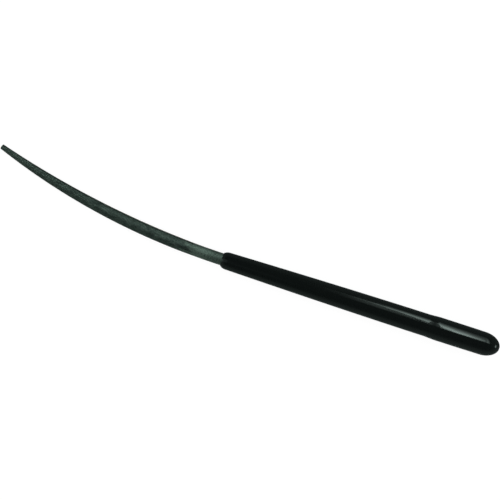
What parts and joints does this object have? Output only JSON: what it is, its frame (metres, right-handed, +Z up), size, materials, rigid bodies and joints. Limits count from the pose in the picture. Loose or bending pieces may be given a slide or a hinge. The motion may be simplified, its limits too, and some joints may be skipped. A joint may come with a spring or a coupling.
{
  "type": "riffler file",
  "caption": "Round riffler file: a tapered steel blade with fine crossed teeth, bent along one arc, in a slim dip-moulded vinyl handle with a rounded butt.",
  "frame": {"origin": "middle of the tool's box, on the bench that it lies on", "axes": "+X along the tool towards the handle's butt, +Y to the side that the blade bends to, +Z up from the bench. At rest the handle's own axis rises 0.8 degrees towards the butt, and the tool is rolled 4.0 degrees about it, so that the blade touches the bench."},
  "size_m": [0.2138, 0.0218, 0.0098],
  "materials": {
    "file_steel": "dark grey hardened steel, faintly green, cut all over with fine crossed teeth, satin and smooth on the neck",
    "black_vinyl": "glossy black soft vinyl, smooth as dipped, with a slightly uneven sheen"
  },
  "bodies": {
    "root": {"file_blank": "file_steel", "handle": "black_vinyl"}
  },
  "joints": []
}
